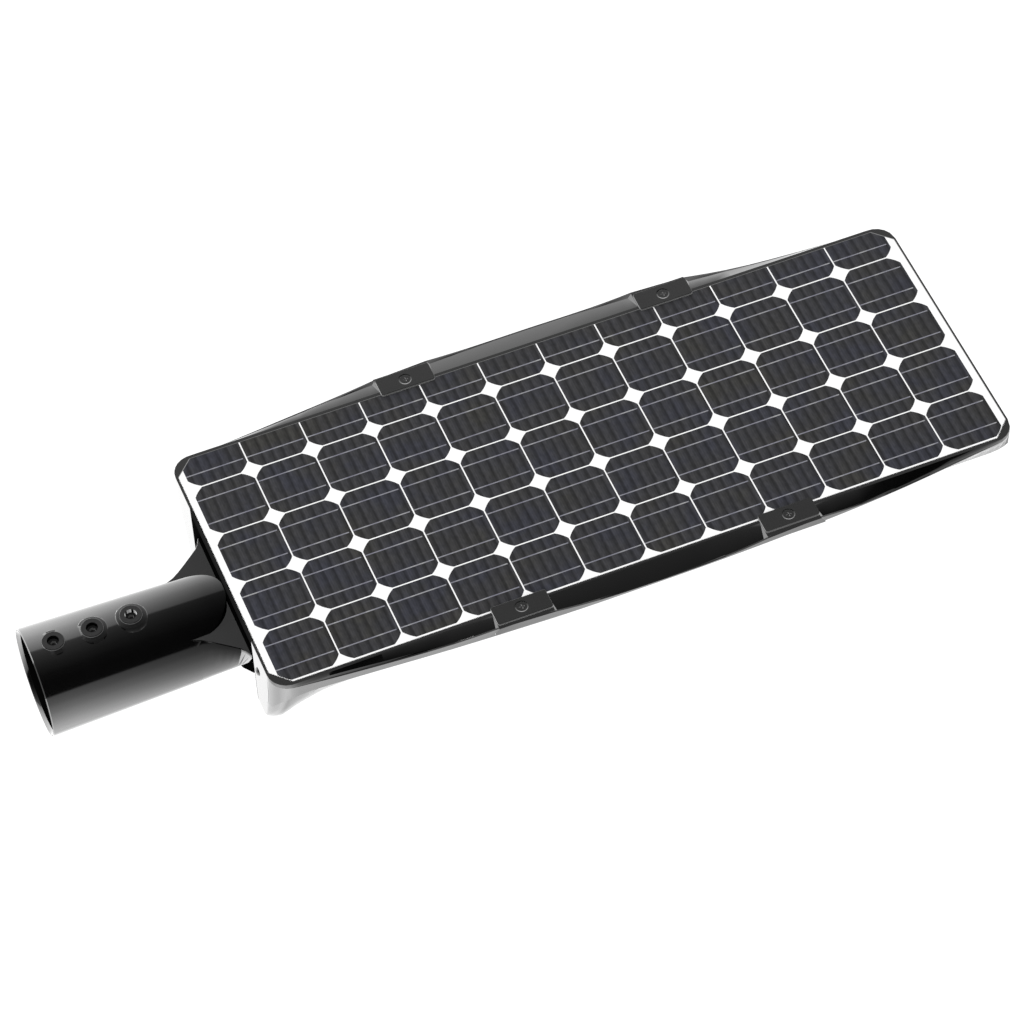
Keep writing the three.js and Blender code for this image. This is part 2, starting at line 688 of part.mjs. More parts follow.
function batteryStrap() {
  const x = (DOOR_X[0] + DOOR_X[1]) / 2;
  const z = CRADLE_Z + 1.5 + 2 * GAP + 2 * CELL_R;
  const half = 4 * CELL_R + 3.4;
  const top = box([x - 14, x + 14], [-half, half], [z, z + 1.2]);
  const legs = [1, -1].map((side) => box(
    [x - 14, x + 14], [side * (half - 1.2), side * half].sort((a, b) => a - b), [CRADLE_Z + 2, z + 1]));
  return union(top, ...legs);
}

function batteryDoor() {
  const body = slab(
    roundedRectangle([DOOR_X[0] + GAP, DOOR_X[1] - GAP], [GAP - DOOR_Y, DOOR_Y - GAP], 5.7), DEEP_Z, DEEP_Z + 2.4);
  const ribs = [-30, 0, 30].map(
    (y) => box([DOOR_X[0] + 30, DOOR_X[1] - 30], [y - 2, y + 2], [DEEP_Z - 0.8, DEEP_Z + 1]));
  const holes = doorScrewSites().map(([x, y]) => post(x, y, 2, DEEP_Z - 2, DEEP_Z + 5, 10));
  return cut(union(body, ...ribs), ...holes);
}

function seal(xs, y, sites, z0) {
  const body = ring([xs[0] + 1, xs[1] - 1], y - 1, 13, z0, z0 + 1);
  return cut(body, ...sites.map(([x, sy]) => post(x, sy, 2.2, z0 - 1, z0 + 3, 10)));
}

// A pan-head screw driven upwards; its head is under the piece it holds.
function underScrew([x, y], seat, length) {
  const low = seat - 2.2;
  const body = turned(x, y, [
    [0, low], [2.2, low], [3.2, low + 0.9], [3.2, seat - GAP], [1.5, seat - GAP], [1.5, seat + length],
    [0, seat + length],
  ], 12);
  return cut(body, box([x - 1.9, x + 1.9], [y - 0.4, y + 0.4], [low - 1, low + 0.8]));
}

// ---- light ---------------------------------------------------------------

function lightSites() {
  const sites = [];
  for (let i = 0; i < 6; i += 1) {
    for (let j = 0; j < 3; j += 1) {
      sites.push([LENS_X[0] + 30 + i * 30, (j - 1) * 30]);
    }
  }
  return sites;
}

function ledBoard() {
  const top = LIGHT_FLOOR - GAP;
  const outline = roundedRectangle([LENS_X[0] + 15, LENS_X[1] - 15], [13 - LENS_Y, LENS_Y - 13], 4);
  const body = slab(outline, top - 1.6, top);
  const chips = lightSites().map(
    ([x, y]) => box([x - 2.5, x + 2.5], [y - 2.5, y + 2.5], [top - 2.5, top - 1.2]));
  return union(body, ...chips);
}

function lensPlate() {
  const z = SLIM_Z - 0.6;
  const outline = roundedRectangle([LENS_X[0] + GAP, LENS_X[1] - GAP], [GAP - LENS_Y, LENS_Y - GAP], 5.7);
  const body = slab(outline, z, z + 3.2);
  const domes = lightSites().map(
    ([x, y]) => turned(x, y, [[0, z - 3.4], [6, z - 2.6], [9.5, z + 0.5], [0, z + 0.5]], 8));
  const holes = lensScrewSites().map(([x, y]) => post(x, y, 2, z - 2, z + 5, 10));
  return cut(union(body, ...domes), ...holes);
}

// ---- controller, sensor and switch ---------------------------------------

function controller() {
  const z = LIGHT_FLOOR + 4 + GAP;
  const lugs = box([580, 720], [-10, 10], [z, z + 3]);
  const body = hull([596, 704].flatMap((x) => [-34, 34].flatMap((y) => [[x, y, z], [x, y, z + 20],
    [x + (x < 650 ? 2 : -2), y * 0.94, z + 22]])));
  const sockets = [0, 1, 2].map((i) => box([592, 598], [-26 + i * 20, -14 + i * 20], [z + 4, z + 14]));
  const holes = controllerScrewSites().map(([x, y]) => post(x, y, 1.9, z - 2, z + 6, 10));
  return cut(union(lugs, body, ...sockets), ...holes);
}

// A small pan-head screw driven down on to a piece whose top is at seat.
function innerScrew([x, y], seat, length) {
  const body = turned(x, y, [
    [0, seat - length], [1.3, seat - length], [1.3, seat + GAP], [3, seat + GAP], [3, seat + 1.6],
    [2.2, seat + 2.4],
    [0, seat + 2.4],
  ], 12);
  return cut(body, crossRecess(x, y, seat + 2.4, 3, 0.8, 0.9));
}

function sensorDome() {
  const z = SLIM_Z;
  return turned(SENSOR_X, 0, [
    [0, z - 9], [4.5, z - 8.3], [8.5, z - 6], [11, z - 3], [12.6, z + 0.5], [SENSOR_R, z + 1],
    [SENSOR_R, z + 3.8],
    [17, z + 3.8], [17, z + 6.3], [10.5, z + 6.3], [10.5, z + 1], [7, z - 3.4], [0, z - 5.8],
  ], 18);
}

function sensorBoard() {
  const z = SLIM_Z + 6.6;
  return union(post(SENSOR_X, 0, 15, z, z + 1.6, 16), post(SENSOR_X, 0, 4.5, z - 4, z + 1, 12));
}

function buttonBezel() {
  const z = DEEP_Z;
  const outer = BUTTON_R + 3;
  return turned(BUTTON_X, 0, [
    [BUTTON_R + GAP, z - 2.6], [outer + 2.6, z - 2.6], [outer + 3.6, z - 1.6], [outer + 3.6, z - GAP],
    [outer, z - GAP],
    [outer, z + 11], [BUTTON_R + GAP, z + 11], [BUTTON_R + GAP, z - 2.6],
  ], 18);
}

function buttonNut() {
  const z = DEEP_Z + WALL + GAP;
  return cut(post(BUTTON_X, 0, 14.5, z, z + 4, 6), post(BUTTON_X, 0, BUTTON_R + 3 + GAP, z - 1, z + 6, 18));
}

function powerButton() {
  const z = DEEP_Z;
  return turned(BUTTON_X, 0, [
    [0, z - 4.6], [5.6, z - 4.6], [BUTTON_R, z - 3.6], [BUTTON_R, z + 4], [2.5, z + 4], [2.5, z + 8],
    [0, z + 8],
  ], 18);
}

function buttonSwitch() {
  const z = DEEP_Z + 11 + GAP;
  const body = post(BUTTON_X, 0, BUTTON_R + 2.6, z, z + 9, 20);
  const pins = [-3, 3].map((y) => box([BUTTON_X - 0.4, BUTTON_X + 0.4], [y - 1.2, y + 1.2], [z + 8, z + 13]));
  return union(body, ...pins);
}

// ---- leads ---------------------------------------------------------------

function panelLead() {
  return lead([[515, 0, 45], [535, 0, 44], [556, -8, 38], [574, -19, 29], [590.8, -20, 27.5]], 2, 9);
}

function batteryLead() {
  const z = CRADLE_Z + 1.5 + GAP + CELL_R;
  return lead([[394.6, 16, z + 10], [425, 14, z + 16], [500, 8, 26], [560, 1, 29], [590.8, 0, 27.5]], 2, 11);
}

function lightLead() {
  return lead([
    [590.8, 16.5, 24.5], [583, 19, 23], [582, 34, 22], [605, 42, 23], [700, 42, 26], [742, 36, 27],
    [746, 30, 15.5],
  ],
    1.6, 16);
}

function buttonLead() {
  return lead([
    [BUTTON_X + 11.5, 0, DEEP_Z + 18], [226, 30, 4], [232, 82, 6], [300, 92, 12], [420, 92, 18],
    [540, 56, 28],
    [572, 27, 31], [590.8, 23, 30],
  ], 1.3, 20);
}

// ---- the lamp ------------------------------------------------------------

const lamp = new THREE.Group();
lamp.name = 'solar_street_lamp';

function place(name, body, look) {
  const mesh = new THREE.Mesh(geometryOf(body), new THREE.MeshStandardMaterial(COLOURS[look]));
  mesh.name = name;
  lamp.add(mesh);
}

function placeEach(name, sites, make, look) {
  sites.forEach((site, i) => place(`${name}_${i + 1}`, make(site), look));
}

place('housing', housing(), 'casting');
place('solar_panel', solarPanel(), 'cells');
place('panel_gasket', panelGasket(), 'rubber');
placeEach('panel_clamp', clampSites(), panelClamp, 'clamp');
placeEach('clamp_screw', clampSites(), clampScrew, 'steel');
place('panel_junction_box', junctionBox(), 'plastic');
place('pole_bracket', poleBracket(), 'casting');
place('bracket_gasket', bracketGasket(), 'rubber');
placeEach('bracket_bolt', bracketBoltSites(), bracketBolt, 'plated');
placeEach('set_screw', BOSS_X, setScrew, 'steel');
place('earth_screw', earthScrew(), 'steel');
place('battery_cradle', batteryCradle(), 'plated');
placeEach('battery_cell', cellSites(), batteryCell, 'wrap');
placeEach('cradle_screw', cradleScrewSites(), (site) => innerScrew(site, CRADLE_Z + 1.5, 6), 'plated');
place('battery_strap', batteryStrap(), 'plastic');
place('battery_door', batteryDoor(), 'casting');
place('door_gasket', seal(DOOR_X, DOOR_Y, doorScrewSites(), DEEP_Z + 2.7), 'rubber');
placeEach('door_screw', doorScrewSites(), (site) => underScrew(site, DEEP_Z, 8), 'plated');
place('led_board', ledBoard(), 'board');
place('led_lens_plate', lensPlate(), 'clear');
place('lens_gasket', seal(LENS_X, LENS_Y, lensScrewSites(), SLIM_Z + 2.9), 'rubber');
placeEach('lens_screw', lensScrewSites(), (site) => underScrew(site, SLIM_Z - 0.6, 8), 'plated');
place('charge_controller', controller(), 'plastic');
const controllerScrew = (site) => innerScrew(site, LIGHT_FLOOR + 7.3, 6);
placeEach('controller_screw', controllerScrewSites(), controllerScrew, 'plated');
place('sensor_dome', sensorDome(), 'clear');
place('sensor_board', sensorBoard(), 'green');
place('button_bezel', buttonBezel(), 'plastic');
place('button_nut', buttonNut(), 'plastic');
place('power_button', powerButton(), 'rubber');
place('button_switch', buttonSwitch(), 'plastic');
place('panel_lead', panelLead(), 'rubber');
place('battery_lead', batteryLead(), 'rubber');
place('light_lead', lightLead(), 'rubber');
place('button_lead', buttonLead(), 'rubber');

export default lamp;
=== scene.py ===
"""Looks for the solar street lamp head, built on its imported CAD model. Metres, in the CAD's own frame."""
import json
import math
import random

import bmesh
import bpy
from mathutils import Matrix, Vector


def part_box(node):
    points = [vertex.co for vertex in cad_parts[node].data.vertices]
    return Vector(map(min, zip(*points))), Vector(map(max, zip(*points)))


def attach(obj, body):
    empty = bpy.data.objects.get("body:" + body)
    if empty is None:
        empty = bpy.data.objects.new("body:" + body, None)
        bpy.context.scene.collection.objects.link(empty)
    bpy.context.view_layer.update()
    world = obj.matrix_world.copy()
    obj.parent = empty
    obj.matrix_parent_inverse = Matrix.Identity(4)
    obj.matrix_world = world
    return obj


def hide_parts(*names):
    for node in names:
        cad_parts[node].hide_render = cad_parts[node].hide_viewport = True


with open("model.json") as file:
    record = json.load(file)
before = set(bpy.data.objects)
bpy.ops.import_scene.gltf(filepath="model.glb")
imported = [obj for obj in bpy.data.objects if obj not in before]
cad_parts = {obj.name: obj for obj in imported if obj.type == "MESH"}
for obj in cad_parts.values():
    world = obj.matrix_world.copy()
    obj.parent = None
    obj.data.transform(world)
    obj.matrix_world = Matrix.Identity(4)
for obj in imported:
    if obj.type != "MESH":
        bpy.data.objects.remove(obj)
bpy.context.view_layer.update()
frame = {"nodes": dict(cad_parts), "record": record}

MM = 0.001
BODIES = frame["record"]["behaviour"]["bodies"]
BODY_OF = {node: body for body, nodes in BODIES.items() for node in nodes}

# Solar cells
PITCH = 53.2 * MM
COLUMNS = 12
FIRST_X = 171 * MM
ROW_LINES = [91.2 * MM - PITCH * i for i in range(5)]
FAR_EDGE = 122.4 * MM
CELL_GAP = 1.15 * MM
CORNER_CUT = 8.8 * MM
BUSBAR_SHARES = (0.26, 0.74)
BUSBAR_WIDTH = 1.1 * MM
BUSBAR_SHORT = 2.2 * MM
STRIPES_PER_CELL = 6
SHEET_DEPTH = 0.15 * MM

# Pole sleeve
SLEEVE_RADIUS = 46.1 * MM
SLEEVE_TAPER = 0.0282
MOUTH_END = -1.95 * MM
LIP_END = 1.2 * MM
BORE_END = 119 * MM
FLANGE_START = 164.2 * MM
RECESS_END = 176 * MM
RECESS_HALF = 73 * MM
NECK_START = 117 * MM

# Camera
CAMERA_PLACE = Vector((-0.3373, -2.0610, 2.8536))
CAMERA_RIGHT = Vector((0.92544, -0.37782, -0.02835))
CAMERA_UP = Vector((0.31534, 0.72660, 0.61041))
CAMERA_BACK = Vector((-0.21003, -0.57384, 0.79158))
LENS = 152.2
SENSOR = 36.0

# Studio
FLOOR_Z = -5.0
TENT_RADIUS = 3.0
TENT_LENGTH = 16.0

# Reflection level of the bracket's paint, turned down from the mouth of the sleeve towards the flange:
# painted shade that darkens the sleeve near the flange
SHADE_FADE_X = (20 * MM, 150 * MM)
SHADE_FADE_LEVEL = (0.62, 0.20)


# ---- node material helpers -------------------------------------------------

def new_material(name):
    material = bpy.data.materials.new(name)
    material.use_nodes = True
    nodes = material.node_tree.nodes
    return material, nodes, material.node_tree.links, nodes["Principled BSDF"]


def place_noise(nodes, links, scale, detail=3.0, stretch=(1, 1, 1)):
    """Noise fixed to the object, optionally stretched along an axis."""
    where = nodes.new("ShaderNodeTexCoord")
    mapping = nodes.new("ShaderNodeMapping")
    mapping.inputs["Scale"].default_value = stretch
    noise = nodes.new("ShaderNodeTexNoise")
    noise.inputs["Scale"].default_value = scale
    noise.inputs["Detail"].default_value = detail
    links.new(where.outputs["Object"], mapping.inputs["Vector"])
    links.new(mapping.outputs["Vector"], noise.inputs["Vector"])
    return noise


def ramp(nodes, links, source, stops):
    """A colour ramp over a 0 to 1 value; stops are (position, colour)."""
    node = nodes.new("ShaderNodeValToRGB")
    elements = node.color_ramp.elements
    while len(elements) < len(stops):
        elements.new(0.5)
    for element, (position, colour) in zip(elements, stops):
        element.position = position
        element.color = (*colour, 1.0)
    links.new(source, node.inputs["Fac"])
    return node


def value_range(nodes, links, source, low, high):
    node = nodes.new("ShaderNodeMapRange")
    node.inputs["To Min"].default_value = low
    node.inputs["To Max"].default_value = high
    links.new(source, node.inputs["Value"])
    return node.outputs["Result"]


def add_bump(nodes, links, shader, height, strength, distance):
    bump = nodes.new("ShaderNodeBump")
    bump.inputs["Strength"].default_value = strength
    bump.inputs["Distance"].default_value = distance
    links.new(height, bump.inputs["Height"])
    links.new(bump.outputs["Normal"], shader.inputs["Normal"])


def finish_material(name, dark, light, roughness, metallic=0.0, grain=900.0, bump=0.05, stretch=(1, 1, 1),
                    coat=0.0, specular=0.5):
    """A finish that wanders between two close colours, with uneven gloss and a fine grain."""
    material, nodes, links, shader = new_material(name)
    broad = place_noise(nodes, links, 22.0)
    fine = place_noise(nodes, links, grain, 2.0, stretch)
    colour = ramp(nodes, links, broad.outputs["Fac"], [(0.35, dark), (0.65, light)])
    links.new(colour.outputs["Color"], shader.inputs["Base Color"])
    gloss = value_range(nodes, links, fine.outputs["Fac"], roughness[0], roughness[1])
    links.new(gloss, shader.inputs["Roughness"])
    shader.inputs["Metallic"].default_value = metallic
    shader.inputs["Specular IOR Level"].default_value = specular
    shader.inputs["Coat Weight"].default_value = coat
    shader.inputs["Coat Roughness"].default_value = 0.04
    add_bump(nodes, links, shader, fine.outputs["Fac"], bump, 0.0002)
    return material


def grey(level, tint=(1, 1, 1)):
    return tuple(level * t for t in tint)


# ---- materials -------------------------------------------------------------

def paint_material():
    return finish_material("gloss_coat", grey(0.0011), grey(0.0018, (1, 1, 1.03)), (0.09, 0.12), grain=1400.0,
                           bump=0.01, specular=0.4)


def sleeve_paint_material():
    """The gloss coat of the pole bracket, its reflection turned down from the mouth of the sleeve towards the
    flange as painted shade.
    """
    material = finish_material(
        "sleeve_coat", grey(0.0011), grey(0.0018, (1, 1, 1.03)), (0.09, 0.12), grain=1400.0, bump=0.01)
    nodes, links = material.node_tree.nodes, material.node_tree.links
    shader = next(node for node in nodes if node.type == "BSDF_PRINCIPLED")
    place = nodes.new("ShaderNodeTexCoord")
    axes = nodes.new("ShaderNodeSeparateXYZ")
    links.new(place.outputs["Object"], axes.inputs["Vector"])
    # the reflection level falls along the sleeve towards the flange: painted shade
    gloss = nodes.new("ShaderNodeMapRange")
    gloss.inputs["From Min"].default_value, gloss.inputs["From Max"].default_value = SHADE_FADE_X
    gloss.inputs["To Min"].default_value, gloss.inputs["To Max"].default_value = SHADE_FADE_LEVEL
    links.new(axes.outputs["X"], gloss.inputs["Value"])
    links.new(gloss.outputs["Result"], shader.inputs["Specular IOR Level"])
    return material


def lit_level_coat_material():
    """A lighter, duller copy of the coat for the level faces of the castings: painted light standing in for
    the light they reflect.
    """
    return finish_material(
        "painted_light_coat", grey(0.0050), grey(0.0062, (1, 1, 1.03)), (0.20, 0.26), grain=1800.0, bump=0.03,
        specular=0.15)


def boss_shade_coat_material():
    """A rougher, duller copy of the coat for the bosses round the set screws, darkening them as painted
    shade.
    """
    return finish_material("painted_boss_shade", grey(0.0060), grey(0.0085), (0.34, 0.42), grain=1600.0, bump=0.06,
                           specular=0.12)


def shade_black_material():
    """Flat black, with no shine: painted shade for the bore, the mouth's face, the flange and the nose's end.
    """
    return finish_material("painted_shade_black", grey(0.0018), grey(0.0028), (0.55, 0.65), grain=1200.0, bump=0.05,
                           specular=0.0)


def recess_shade_material():
    """Flat dark grey, with no shine, for the housing's recess round the bracket: painted shade where the
    recess lies in shadow.
    """
    return finish_material("painted_recess_shade", grey(0.012), grey(0.017), (0.55, 0.65), grain=1200.0, bump=0.05,
                           specular=0.0)


def clamp_material():
    return finish_material("clamp_coat", grey(0.0065), grey(0.0085), (0.20, 0.26), grain=1800.0, bump=0.05,
                           specular=0.14)


def steel_material():
    return finish_material("plated_steel", grey(0.50), grey(0.62, (1, 1, 1.02)), (0.22, 0.34), metallic=1.0,
                           grain=700.0, bump=0.04, stretch=(1, 1, 6))


def dark_steel_material():
    return finish_material("black_steel", grey(0.010), grey(0.016), (0.25, 0.38), grain=1600.0, bump=0.05)


def black_oxide_material():
    return finish_material("black_oxide", grey(0.004), grey(0.006), (0.45, 0.55), grain=1600.0, bump=0.05,
                           specular=0.03)


def rubber_material():
    return finish_material("silicone", grey(0.010), grey(0.016), (0.55, 0.75), grain=2500.0, bump=0.15)


def plastic_material():
    return finish_material("moulded_plastic", grey(0.012), grey(0.018), (0.38, 0.52), grain=3000.0, bump=0.12)


def lens_material():
    cool = (0.98, 1, 1.02)
    return finish_material("clear_lens", grey(0.55, cool), grey(0.66, cool), (0.05, 0.09),
                           grain=500.0, bump=0.01, coat=1.0)


def dome_material():
    return finish_material("milky_dome", grey(0.62, (1, 1, 0.96)), grey(0.72, (1, 1, 0.97)), (0.30, 0.42),
                           grain=2000.0, bump=0.05)


def led_board_material():
    return finish_material(
        "white_solder_mask", grey(0.66), grey(0.74, (1, 1, 0.97)), (0.30, 0.45), grain=1500.0)


def circuit_material():
    return finish_material(
        "green_solder_mask", (0.012, 0.08, 0.035), (0.02, 0.11, 0.05), (0.25, 0.4), grain=1500.0)


def wrap_material():
    return finish_material("blue_wrap", (0.012, 0.07, 0.28), (0.018, 0.09, 0.34), (0.25, 0.36), grain=600.0)


def backsheet_material():
    """White sheet behind glass, with a faint weave."""
    return finish_material(
        "backsheet", grey(0.90), grey(0.94), (0.32, 0.40), grain=2600.0, bump=0.03, coat=0.12, specular=0.08)


def multiply(nodes, links, one, other):
    mix = nodes.new("ShaderNodeMix")
    mix.data_type = "RGBA"
    mix.blend_type = "MULTIPLY"
    mix.inputs["Factor"].default_value = 1.0
    links.new(one, mix.inputs["A"])
    links.new(other, mix.inputs["B"])
    return mix.outputs["Result"]


def busbar_material():
    """Tinned ribbon, uneven along its length and bluish in places."""
    material, nodes, links, shader = new_material("busbar")
    patches = place_noise(nodes, links, 90.0, 3.0, (1, 0.2, 1))
    tint = ramp(nodes, links, patches.outputs["Fac"], [
        (0.35, (0.15, 0.15, 0.19)), (0.52, (0.21, 0.21, 0.24)), (0.68, (0.31, 0.31, 0.32))])
    links.new(tint.outputs["Color"], shader.inputs["Base Color"])
    gloss = value_range(nodes, links, patches.outputs["Fac"], 0.35, 0.5)
    links.new(gloss, shader.inputs["Roughness"])
    shader.inputs["Specular IOR Level"].default_value = 0.15
    return material


def cell_material():
    """Dark silicon behind glass.

    Each strip of a cell has a soft pleated shade of its own, bluish in places and warmer in others,
    with fine mottling and printed fingers.
    """
    material, nodes, links, shader = new_material("silicon_cell")
    where = nodes.new("ShaderNodeTexCoord")
    strip = nodes.new("ShaderNodeAttribute")
    strip.attribute_name = "strip"
    shift = nodes.new("ShaderNodeVectorMath")
    shift.operation = "ADD"
    links.new(where.outputs["Object"], shift.inputs[0])
    links.new(strip.outputs["Vector"], shift.inputs[1])
    pleats = nodes.new("ShaderNodeTexWave")
    pleats.wave_type = "BANDS"
    pleats.bands_direction = "X"
    pleats.wave_profile = "SAW"
    pleats.inputs["Scale"].default_value = 2 * math.pi / (PITCH / STRIPES_PER_CELL) / 20
    pleats.inputs["Distortion"].default_value = 0.9
    pleats.inputs["Detail"].default_value = 2.0
    pleats.inputs["Detail Scale"].default_value = 0.5
    links.new(shift.outputs["Vector"], pleats.inputs["Vector"])
    shade = ramp(nodes, links, pleats.outputs["Fac"], [
        (0.0, grey(0.021)), (0.17, grey(0.040)), (0.45, grey(0.036)), (0.72, grey(0.027)),
        (0.90, grey(0.018)),
        (1.0, grey(0.021))])
    clouds = place_noise(nodes, links, 30.0, 3.0)
    hue = ramp(nodes, links, clouds.outputs["Fac"], [
        (0.36, (0.94, 0.97, 1.24)), (0.46, (0.98, 0.99, 1.12)), (0.60, (1.01, 1.0, 1.04)),
        (0.70, (1.04, 1.02, 0.96))])
    specks = place_noise(nodes, links, 420.0, 4.0, (1, 0.45, 1))
    mottle = ramp(nodes, links, specks.outputs["Fac"], [(0.3, grey(0.80)), (0.7, grey(1.22))])
    fingers = nodes.new("ShaderNodeTexWave")
    fingers.wave_type = "BANDS"
    fingers.bands_direction = "X"
    fingers.inputs["Scale"].default_value = 2 * math.pi / (PITCH / 26) / 20
    links.new(where.outputs["Object"], fingers.inputs["Vector"])
    print_lines = ramp(nodes, links, fingers.outputs["Fac"], [(0.80, grey(1.0)), (0.97, grey(1.18))])
    tone = multiply(nodes, links, shade.outputs["Color"], hue.outputs["Color"])
    tone = multiply(nodes, links, tone, mottle.outputs["Color"])
    tone = multiply(nodes, links, tone, print_lines.outputs["Color"])
    links.new(tone, shader.inputs["Base Color"])
    gloss = value_range(nodes, links, specks.outputs["Fac"], 0.10, 0.18)
    links.new(gloss, shader.inputs["Roughness"])
    shader.inputs["Specular IOR Level"].default_value = 0.04
    return material


# ---- pieces ----------------------------------------------------------------

def welded_copy(name, flatten=True):
    """A CAD node's shape as one joined skin, with its flat faces whole."""
    shape = bmesh.new()
    shape.from_mesh(frame["nodes"][name].data)
    bmesh.ops.remove_doubles(shape, verts=shape.verts, dist=2e-6)
    if flatten:
        bmesh.ops.dissolve_limit(shape, angle_limit=math.radians(0.6), verts=shape.verts, edges=shape.edges)
    mesh = bpy.data.meshes.new(name + "_skin")
    shape.to_mesh(mesh)
    shape.free()
    for polygon in mesh.polygons:
        polygon.use_smooth = True
    mesh.set_sharp_from_angle(angle=math.radians(32))
    skin = bpy.data.objects.new(name + "_skin", mesh)
    bpy.context.scene.collection.objects.link(skin)
    return skin


def skin_of(name, material, width=0.0):
    """A CAD node's visible skin in a material, its hard edges rounded by width."""
    skin = welded_copy(name)
    skin.data.materials.append(material)
    if width:
        bevel = skin.modifiers.new("edge", "BEVEL")
        bevel.width = width
        bevel.segments = 2
        bevel.limit_method = "ANGLE"
        bevel.angle_limit = math.radians(32)
        bevel.use_clamp_overlap = True
    even = skin.modifiers.new("even_shading", "WEIGHTED_NORMAL")
    even.keep_sharp = True
    even.weight = 90
    skin.visible_glossy = False
    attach(skin, BODY_OF[name])
    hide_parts(name)
    return skin


def apply_modifiers(skin):
    scene_now = bpy.context.evaluated_depsgraph_get()
    mesh = bpy.data.meshes.new_from_object(skin.evaluated_get(scene_now))
    skin.modifiers.clear()
    skin.data = mesh


def add_material(skin, material):
    skin.data.materials.append(material)
    return len(skin.data.materials) - 1


def paint_light_on_level_faces(skin, material):
    """Give the broad upward faces of a skin a second material, a lit copy of the coat as painted light."""
    index = add_material(skin, material)
    for face in skin.data.polygons:
        # upward faces take the lit copy of the coat: painted light
        if face.normal.z > 0.9995:
            face.material_index = index


def sleeve_radius(x):
    return SLEEVE_RADIUS - SLEEVE_TAPER * x


def outward(face):
    """How far a face turns away from the sleeve's axis, from -1 inward to 1 outward."""
    return Vector((0.0, face.center.y, face.center.z)).normalized().dot(face.normal)


def dress_bracket(skin):
    """Paint the bore, the mouth's face, the nose's end and the flange of the bracket no-shine black, and the
    bosses a duller coat: painted shade.
    """
    shade_black = add_material(skin, shade_black_material())
    boss_shade = add_material(skin, boss_shade_coat_material())
    for face in skin.data.polygons:
        x = face.center.x
        reach = math.hypot(face.center.y, face.center.z)
        in_bore = LIP_END < x < BORE_END and reach < sleeve_radius(x) - 1.0 * MM and outward(face) < 0.5
        # the bore, the mouth's face, the flange and the nose's end take no-shine black: painted shade
        if in_bore or x > FLANGE_START or x < MOUTH_END:
            face.material_index = shade_black
        elif x > NECK_START and face.normal.x > 0.3:
            face.material_index = shade_black
        # the bosses take a duller copy of the coat: painted shade
        elif x < NECK_START and reach > sleeve_radius(x) + 0.3 * MM:
            face.material_index = boss_shade


def paint_recess_shade(skin, material):
    """Paint the middle of the housing's pole end, round the bracket, flat dark grey as painted shade in the
    recess.
    """
    index = add_material(skin, material)
    work = bmesh.new()
    work.from_mesh(skin.data)
    for side in (1, -1):
        everything = work.verts[:] + work.edges[:] + work.faces[:]
        edge = Vector((0, side * RECESS_HALF, 0))
        bmesh.ops.bisect_plane(work, geom=everything, plane_co=edge, plane_no=(0, 1, 0))
    work.to_mesh(skin.data)
    work.free()
    for face in skin.data.polygons:
        # the recess takes flat dark grey: painted shade
        if face.center.x < RECESS_END and abs(face.center.y) < RECESS_HALF:
            face.material_index = index


def true_round_sleeve(skin):
    """Shade the pole sleeve's faceted outside, and the neck that flares from it, as one true cone."""
    apply_modifiers(skin)
    mesh = skin.data
    normals = [Vector(corner.vector) for corner in mesh.corner_normals]
    for face in mesh.polygons:
        places = [mesh.vertices[i].co for i in face.vertices]
        on_cone = all(abs(math.hypot(p.y, p.z) - sleeve_radius(p.x)) < 0.15 * MM for p in places)
        on_neck = face.center.x > NECK_START and face.normal.z < 0.5 and outward(face) > 0.6
        if (on_cone and outward(face) > 0.98) or on_neck:
            for corner, p in zip(face.loop_indices, places):
                normals[corner] = Vector((SLEEVE_TAPER * math.hypot(p.y, p.z), p.y, p.z)).normalized()
    mesh.normals_split_custom_set(normals)


def flat_mesh(name, outlines, z, material, body="lamp"):
    """One mesh of flat [x, y] outlines at height z."""
    shape = bmesh.new()
    for outline in outlines:
        shape.faces.new([shape.verts.new((x, y, z)) for x, y in outline])
    mesh = bpy.data.meshes.new(name)
    shape.to_mesh(mesh)
    shape.free()
    mesh.materials.append(material)
    piece = bpy.data.objects.new(name, mesh)
    bpy.context.scene.collection.objects.link(piece)
    piece.visible_glossy = False
    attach(piece, body)
    return piece


def clipped(outline, a, b):
    """The part of a convex outline to the left of the line from a to b."""
    def side(p):
        return (b[0] - a[0]) * (p[1] - a[1]) - (b[1] - a[1]) * (p[0] - a[0])
    kept = []
    for here, after in zip(outline, outline[1:] + outline[:1]):
        s, t = side(here), side(after)
        if s >= 0:
            kept.append(here)
        if (s > 0 > t) or (s < 0 < t):
            k = s / (s - t)
            kept.append((here[0] + k * (after[0] - here[0]), here[1] + k * (after[1] - here[1])))
    return kept


def inside(outline, border):
    for a, b in zip(border, border[1:] + border[:1]):
        outline = clipped(outline, a, b)
    return outline


def cut_corner_rectangle(low, high, cut):
    (x0, y0), (x1, y1) = low, high
    return [(x0 + cut, y0), (x1 - cut, y0), (x1, y0 + cut), (x1, y1 - cut),
            (x1 - cut, y1), (x0 + cut, y1), (x0, y1 - cut), (x0, y0 + cut)]


def wafer(x, y, half):
    """A square wafer with its corners cut by the round of the ingot."""
    reach = math.hypot(half, half - CORNER_CUT)
    first = math.atan2(half - CORNER_CUT, half)
    last = math.pi / 2 - first
    outline = []
    for quarter in range(4):
        for i in range(6):
            a = quarter * math.pi / 2 + first + (last - first) * i / 5
            outline.append((x + reach * math.cos(a), y + reach * math.sin(a)))
    return outline


def cell_rows():
    """Top line of each row of cells, the cut row on the far side last."""
    return ROW_LINES[:4] + [ROW_LINES[0] + PITCH]


